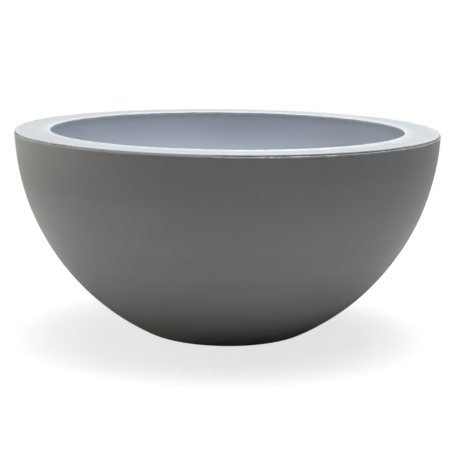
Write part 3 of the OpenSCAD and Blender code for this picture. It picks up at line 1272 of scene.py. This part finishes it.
@dataclass(frozen=True)
class DrainFitting:
    """Threaded tube through both floors, its sealing washer and the hexagon nut under the foot.

    tube_z is the low end of the tube, seal_z and flange_z the two faces of the washer, top_z the top
    of the flange, and nut_z and nut_top the two faces of the nut. nut_flat is half the width over
    the nut's flats, and corner_cut how far out its corners reach, as a share of the full hexagon.
    dish is the depth of the shallow ring in the flange, and slack is how far from the tube's radius
    a point still counts as on it.
    """

    tube_z: float
    seal_z: float
    flange_z: float
    top_z: float
    nut_z: float
    nut_top: float
    flange_r: float
    seal_r: float
    bore_r: float = 13 * MM
    tube_r: float = 17 * MM
    pitch: float = 2 * MM
    thread: float = 0.45 * MM
    dish: float = 0.5 * MM
    slack: float = 0.01 * MM
    nut_flat: float = 24 * MM
    corner_cut: float = 0.985
    nut_face_r: float = 28 * MM
    nut_face_t: float = 2 * MM
    tube_columns: int = 144
    seal_columns: int = 160
    nut_columns: int = 240

    def tube_outline(self) -> Array:
        """Outline of the tube, with a shallow ring in the top of its flange.

        Returns:
            Rows of radius and height.
        """
        top, sunk, under = self.top_z, self.top_z - self.dish, self.flange_z
        ring = [(self.flange_r - inset, z, 0.3 * MM)
                for inset, z in ((3.4 * MM, top), (3.8 * MM, sunk), (5.0 * MM, sunk), (5.4 * MM, top))]
        return rounded([
            (self.bore_r, self.tube_z, 0.5 * MM), (self.tube_r, self.tube_z, 0.6 * MM),
            (self.tube_r, under, 0.3 * MM), (self.flange_r, under, 0.6 * MM), (self.flange_r, top, 1.5 * MM),
            *ring, (self.bore_r + 1 * MM, top, 0.3 * MM), (self.bore_r, top - 1 * MM, 0.3 * MM)])

    def build_tube(self, finish: bpy.types.Material) -> bpy.types.Object:
        """Builds the tube with its flange and its thread.

        The thread is a hollow of the tube's outside: -depth * (1 - cos(2 pi z / pitch - t)) / 2 for
        the height z and the turn t, on points that are added along the tube, eight to a pitch.

        Args:
            finish: the fitting's material.

        Returns:
            The finished piece.
        """
        outline = self.tube_outline()
        r, z = outline.T
        on_tube = np.abs(r - self.tube_r) < self.slack
        low, high = z[on_tube].min(), z[on_tube].max()
        added = np.arange(low, high, self.pitch / 8)[1:-1]
        last_low = np.flatnonzero(on_tube & (z < (low + high) / 2))[-1]
        added = np.column_stack([np.full(len(added), self.tube_r), added])
        section = Section.of(np.insert(outline, last_low + 1, added, axis=0))
        turn = even_turn(self.tube_columns)
        r, z = section.points[:, :1], section.points[:, 1:]
        wave = (1 - np.cos(FULL_TURN * z / self.pitch - turn)) / 2
        threaded = (np.abs(r - self.tube_r) < self.slack) * fade(z, low, low + 1 * MM)
        threaded = threaded * (1 - fade(z, high - 2 * MM, high))
        piece = turned("drain_tube", section, turn, Changes(lift=-self.thread * wave * threaded))
        return settle(piece, Body.POT, ("drain_bush",), finish)

    def build_washer(self) -> bpy.types.Object:
        """Builds the soft washer, with a round edge that is squeezed unevenly.

        Returns:
            The finished piece.
        """
        edge_round = 0.45 * (self.flange_z - self.seal_z)
        inner = self.tube_r + 0.2 * MM
        section = Section.of(rounded([
            (inner, self.seal_z, 0.4 * MM), (self.seal_r, self.seal_z, edge_round),
            (self.seal_r, self.flange_z, edge_round), (inner, self.flange_z, 0.4 * MM)]))
        turn = even_turn(self.seal_columns)
        at_edge = section.points[:, :1] > self.seal_r - 2 * MM
        lift = waves(section, turn, 0.15 * MM, 20 * MM, seed=5) * at_edge
        piece = turned("seal_ring", section, turn, Changes(lift=lift))
        return settle(piece, Body.POT, ("seal_washer",), SEAL_RUBBER.material())

    def build_nut(self, finish: bpy.types.Material) -> bpy.types.Object:
        """Builds the nut.

        On its lower part the radius follows a hexagon, flat / cos(t) for t within 30 degrees of a
        flat's middle, with its corners cut by a circle.

        Args:
            finish: the fitting's material.

        Returns:
            The finished piece.
        """
        corner_r = self.nut_flat / math.cos(math.pi / 6)
        step = self.nut_top - self.nut_face_t
        bore = self.tube_r + 0.1 * MM
        section = Section.of(rounded([
            (bore, self.nut_z, 0.6 * MM), (self.nut_flat, self.nut_z, 0.8 * MM),
            (self.nut_flat, self.nut_z + 2.6 * MM, 0), (self.nut_flat, step, 0.5 * MM),
            (self.nut_face_r, step, 0.6 * MM), (self.nut_face_r, self.nut_top, 0.3 * MM),
            (bore, self.nut_top, 0.3 * MM)]))
        turn = even_turn(self.nut_columns)
        sixth = math.pi / 3
        away = (turn + sixth / 2) % sixth - sixth / 2
        hexagon = np.minimum(1 / np.cos(away), self.corner_cut * corner_r / self.nut_flat)
        r, z = section.points[:, :1], section.points[:, 1:]
        of_hexagon = fade(r, self.nut_flat - 3 * MM, self.nut_flat - 0.9 * MM) * (z < step + 0.1 * MM)
        of_hexagon = of_hexagon * (r < self.nut_flat + 0.3 * MM)
        piece = turned("hexagon_nut", section, turn, Changes(swell=1 + (hexagon - 1) * of_hexagon))
        return settle(piece, Body.POT, ("drain_nut",), finish)

    def build(self) -> None:
        """Builds the three pieces of the fitting."""
        finish = FITTING_PLASTIC.material()
        self.build_tube(finish)
        self.build_washer()
        self.build_nut(finish)


@dataclass(frozen=True)
class DrainPlug:
    """Soft plug: a ribbed shank in the bore, a flange on the mouth of the tube and a round grip.

    Its heights are its low end, the mouth that its flange sits on and its top. groove is how far the
    shank lies below its ribs, dish how far the flange is sunk round the neck, and grip_depth the
    depth of the fine upright ribs for the fingers.
    """

    low_z: float
    seat_z: float
    top_z: float
    flange_r: float
    rib_r: float = 12.95 * MM
    groove: float = 1.2 * MM
    rib_h: float = 2.5 * MM
    ribs: int = 2
    flange_t: float = 4 * MM
    dish: float = 0.5 * MM
    neck_r: float = 5.5 * MM
    head_r: float = 9 * MM
    grip_ribs: int = 24
    grip_depth: float = 0.30 * MM
    columns: int = 192

    @property
    def head_z(self) -> float:
        """Height of the middle of the round head."""
        return self.top_z - self.head_r

    def section(self) -> Section:
        """Half section, from the middle of the low end over the ribs and the flange to the top.

        Returns:
            The section.
        """
        core = self.rib_r - self.groove
        rows = [(0.0, self.low_z + 0.4 * MM, 0), (core - 3 * MM, self.low_z + 0.4 * MM, 0.4 * MM),
                (core - 2.4 * MM, self.low_z, 0.2 * MM)]
        for k in range(self.ribs):
            at = self.low_z + k * (self.seat_z - self.low_z) / self.ribs
            rows += [(core, at, 0.2 * MM), (self.rib_r, at + self.rib_h / 2, 0.3 * MM),
                     (self.rib_r, at + self.rib_h, 0.25 * MM), (core, at + self.rib_h, 0.4 * MM)]
        deck = self.seat_z + self.flange_t
        sunk = deck - self.dish
        rows += [(core, self.seat_z, 0.25 * MM), (self.flange_r, self.seat_z, 0.4 * MM),
                 (self.flange_r, deck, 1.5 * MM), (self.flange_r - 4.0 * MM, deck, 0.6 * MM),
                 (self.flange_r - 4.6 * MM, sunk, 0.5 * MM), (self.neck_r + 4 * MM, sunk, 0.5 * MM),
                 (self.neck_r, deck + 1.5 * MM, 3 * MM)]
        start = -math.acos(self.neck_r / self.head_r)
        head = arc((0.0, self.head_z), self.head_r, start, math.pi / 2, 26)
        head[-1, 0] = 0.0
        return Section.of(rounded(np.vstack([rows, plain(head)])), ring=False)

    def build(self) -> bpy.types.Object:
        """Builds and dresses the plug.

        Fine upright ribs for the fingers, -depth * (1 - cos(ribs * t)) / 2 for the turn t, run round
        the head and fade towards its top and its neck.

        Returns:
            The finished piece.
        """
        section = self.section()
        turn = even_turn(self.columns)
        z = section.points[:, 1:]
        grip = np.exp(-(((z - self.head_z) / (0.42 * self.head_r)) ** 2))
        grip = grip * (z > self.head_z - 0.75 * self.head_r)
        lift = -self.grip_depth * grip * (1 - np.cos(self.grip_ribs * turn)) / 2
        piece = turned("soft_plug", section, turn, Changes(lift=lift))
        return settle(piece, Body.PLUG, ("drain_plug",), PLUG_RUBBER.material())


@dataclass(frozen=True)
class FootPads:
    """Soft pads let into the foot ring.

    reach is how far from the axis a pad's outer side lies, and thick is a pad's height.
    """

    reach: float
    thick: float
    pad_r: float = 13 * MM
    count: int = 4
    grooves: int = 3
    groove_depth: float = 0.5 * MM
    columns: int = 96

    def section(self) -> Section:
        """Half section of a pad, with round grooves in the face that it stands on.

        Returns:
            The section.
        """
        rows = [(0.0, 0.0, 0)]
        for k in range(1, self.grooves + 1):
            at = k * self.pad_r / (self.grooves + 1)
            rows += [(at - 0.7 * MM, 0.0, 0.2 * MM), (at - 0.3 * MM, self.groove_depth, 0.15 * MM),
                     (at + 0.3 * MM, self.groove_depth, 0.15 * MM), (at + 0.7 * MM, 0.0, 0.2 * MM)]
        rows += [(self.pad_r - 0.8 * MM, 0.0, 0.3 * MM), (self.pad_r, 0.8 * MM, 0.5 * MM),
                 (self.pad_r, self.thick, 0.4 * MM), (0.0, self.thick, 0)]
        return Section.of(rounded(rows), ring=False)

    def build(self) -> None:
        """Builds each pad in its place, the first one at the side that faces the camera."""
        section, finish = self.section(), PAD_RUBBER.material()
        ring_r = self.reach - self.pad_r
        for k in range(self.count):
            at = TO_CAMERA + k * FULL_TURN / self.count
            centre = (ring_r * math.cos(at), ring_r * math.sin(at))
            piece = turned(f"foot_pad_{k + 1}", section, even_turn(self.columns), centre=centre)
            settle(piece, Body.POT, ("foot_pads",), finish)


@dataclass(frozen=True)
class SoftBox:
    """Large soft lamp: where it is, where it looks, its size, its power and its tint."""

    name: str
    place: tuple[float, float, float]
    size: tuple[float, float]
    power: float
    tint: Colour = (1.0, 1.0, 1.0)
    target: tuple[float, float, float] = (0.0, 0.0, 0.15)

    def build(self) -> None:
        """Puts the lamp into the scene."""
        data = bpy.data.lights.new(self.name, "AREA")
        data.shape, data.size, data.size_y = "RECTANGLE", *self.size
        data.energy, data.color = self.power, self.tint
        lamp = bpy.data.objects.new(self.name, data)
        lamp.location = self.place
        look = Vector(self.target) - Vector(self.place)
        lamp.rotation_euler = look.to_track_quat("-Z", "Y").to_euler()
        lamp.visible_camera = False
        bpy.context.scene.collection.objects.link(lamp)


@dataclass(frozen=True)
class Studio:
    """Pale floor, plain soft light and the camera.

    The camera stands at a distance from its aim, looks down by its pitch and leans by its roll.
    floor_grey is the real floor's colour, and seen_grey with seen_glow make the brighter one that
    the camera sees. seen_white and mirrored_white say between which distances from the bowl's axis
    the floor turns white to the camera and to mirrored rays. Three lamps hang overhead, and two warm
    ones stand on the left, one low and one behind.
    """

    distance: float = 2.012
    pitch: float = 0.1712
    roll: float = 0.0117
    lens: float = 119.2
    sensor: float = 36.0
    aim: tuple[float, float, float] = (0.0008, 0.0, 0.1435)
    floor_r: float = 9.0
    floor_grey: float = 0.79
    seen_grey: float = 0.45
    seen_glow: float = 0.75
    seen_white: tuple[float, float] = (0.35, 1.3)
    mirrored_white: tuple[float, float] = (0.8, 2.5)
    sky_diffuse: float = 0.0
    sky_glossy: float = 0.85
    lamps: tuple[SoftBox, ...] = (
        SoftBox("overhead", (0.0, 0.1, 1.9), (2.2, 2.2), 27.0),
        SoftBox("overhead_near", (0.0, 0.0, 1.7), (1.1, 1.1), 20.0),
        SoftBox("overhead_front", (0.45, -0.1, 1.3), (1.2, 0.5), 4.0, (0.90, 0.94, 1.0)),
        SoftBox("left", (-1.9, -0.15, 0.10), (1.0, 0.4), 6.6, (1.0, 0.96, 0.8)),
        SoftBox("left_behind", (-1.9, 1.2, 0.5), (1.0, 0.9), 8.0, (1.0, 0.97, 0.66)),
    )

    def camera(self) -> None:
        """Camera at the photograph's angle, looking slightly down, with its small roll."""
        data = bpy.data.cameras.new("camera")
        data.sensor_width, data.lens = self.sensor, self.lens
        camera = bpy.data.objects.new("camera", data)
        forward = Vector((0, math.cos(self.pitch), -math.sin(self.pitch)))
        level, upright = Vector((1, 0, 0)), Vector((0, math.sin(self.pitch), math.cos(self.pitch)))
        right = math.cos(self.roll) * level + math.sin(self.roll) * upright
        up = -math.sin(self.roll) * level + math.cos(self.roll) * upright
        place = Vector(self.aim) - self.distance * forward
        turn = Matrix((right, up, -forward)).transposed().to_4x4()
        camera.matrix_world = Matrix.Translation(place) @ turn
        bpy.context.scene.collection.objects.link(camera)
        bpy.context.scene.camera = camera

    def floor(self) -> None:
        """Round floor on the ground: rings of points, each wider than the last by the same factor."""
        rings = np.geomspace(0.05, self.floor_r, 24)[:, None]
        turn = even_turn(64)
        grid = np.stack([rings * np.cos(turn), rings * np.sin(turn), 0 * rings * turn], axis=-1)
        ids = np.arange(rings.size * turn.size).reshape(rings.size, turn.size) + 1
        beside = np.roll(ids, -1, axis=1)
        faces = np.stack([ids[:-1], ids[1:], beside[1:], beside[:-1]], axis=-1).reshape(-1, 4).tolist()
        faces += np.stack([0 * ids[0], ids[0], beside[0]], axis=-1).tolist()
        made = put_mesh("studio_floor", np.vstack([[[0, 0, 0]], grid.reshape(-1, 3)]), faces, {})
        made.data.materials.append(self.floor_finish())

    def floor_finish(self) -> bpy.types.Material:
        """Pale matte floor that looks plain white away from the object.

        It lights the object as a real pale floor does. A mirrored ray sees that real floor near the
        object and white further out. The camera sees a brightened floor that keeps the object's
        shadow, and plain white further out. From below the floor is clear.

        Returns:
            The material.
        """
        g = Graph("studio_floor")
        away = g.from_axis()
        path = g.node("ShaderNodeLightPath").outputs
        white = g.node("ShaderNodeEmission").outputs[0]
        real = g.node("ShaderNodeBsdfDiffuse", (self.floor_grey,) * 3).outputs[0]
        pale = g.node("ShaderNodeBsdfDiffuse", (self.seen_grey,) * 3).outputs[0]
        glow = g.node("ShaderNodeEmission")
        glow.inputs["Strength"].default_value = self.seen_glow
        lifted = g.node("ShaderNodeAddShader", pale, glow.outputs[0]).outputs[0]
        mirrored = g.maths("ADD", path["Is Glossy Ray"], path["Is Transmission Ray"], clamp=True)
        reflected = g.between(g.times(mirrored, g.spread(away, *self.mirrored_white)), real, white)
        seen = g.between(g.spread(away, *self.seen_white), lifted, white)
        above = g.between(path["Is Camera Ray"], reflected, seen)
        clear = g.node("ShaderNodeBsdfTransparent").outputs[0]
        return g.ended(g.between(g.node("ShaderNodeNewGeometry").outputs["Backfacing"], above, clear))

    def sky(self) -> None:
        """Plain surroundings: white to the camera, a little dimmer in gloss, and dark to matte surfaces."""
        world = bpy.data.worlds.new("studio_surroundings")
        world.use_nodes = True
        tree = world.node_tree
        tree.nodes.clear()
        path = tree.nodes.new("ShaderNodeLightPath")
        levels = []
        for strength in (self.sky_diffuse, self.sky_glossy, 1.0):
            level = tree.nodes.new("ShaderNodeBackground")
            level.inputs["Color"].default_value = (1, 1, 1, 1)
            level.inputs["Strength"].default_value = strength
            levels.append(level.outputs[0])
        for chosen, key in ((1, "Is Glossy Ray"), (2, "Is Transmission Ray"), (2, "Is Camera Ray")):
            mix = tree.nodes.new("ShaderNodeMixShader")
            tree.links.new(path.outputs[key], mix.inputs[0])
            tree.links.new(levels[0], mix.inputs[1])
            tree.links.new(levels[chosen], mix.inputs[2])
            levels[0] = mix.outputs[0]
        tree.links.new(levels[0], tree.nodes.new("ShaderNodeOutputWorld").inputs[0])
        bpy.context.scene.world = world

    def build(self) -> None:
        """Builds the studio."""
        self.camera()
        self.floor()
        self.sky()
        for lamp in self.lamps:
            lamp.build()
        bpy.context.scene.view_settings.view_transform = "Standard"


def main() -> None:
    """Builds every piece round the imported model, then the studio."""
    logging.basicConfig(level=logging.INFO, format="%(name)s: %(message)s")
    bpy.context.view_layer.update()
    bowl_low, bowl_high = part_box("inner_bowl")
    shell_low, shell_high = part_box("outer_shell")
    bush_low, bush_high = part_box("drain_bush")
    seal_low, seal_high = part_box("seal_washer")
    nut_low, nut_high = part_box("drain_nut")
    plug_low, plug_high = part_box("drain_plug")
    pads_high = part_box("foot_pads")[1]
    bowl_r = min(bowl_high[0], bowl_high[1], -bowl_low[0], -bowl_low[1])
    rim_z, joint_z = bowl_high[2], shell_high[2]
    OuterBowl(bowl_r, rim_z, joint_z, foot_z=shell_low[2]).build()
    InnerBowl(bowl_r, rim_z, joint_z, low_z=bowl_low[2]).build()
    JointBead(bowl_r, rim_z, joint_z).build()
    DrainFitting(tube_z=bush_low[2], seal_z=seal_low[2], flange_z=seal_high[2], top_z=bush_high[2],
                 nut_z=nut_low[2], nut_top=nut_high[2], flange_r=bush_high[0], seal_r=seal_high[0]).build()
    DrainPlug(low_z=plug_low[2], seat_z=bush_high[2], top_z=plug_high[2], flange_r=plug_high[0]).build()
    FootPads(reach=pads_high[0], thick=pads_high[2]).build()
    Studio().build()
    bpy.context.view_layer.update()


if __name__ == "__main__":
    main()
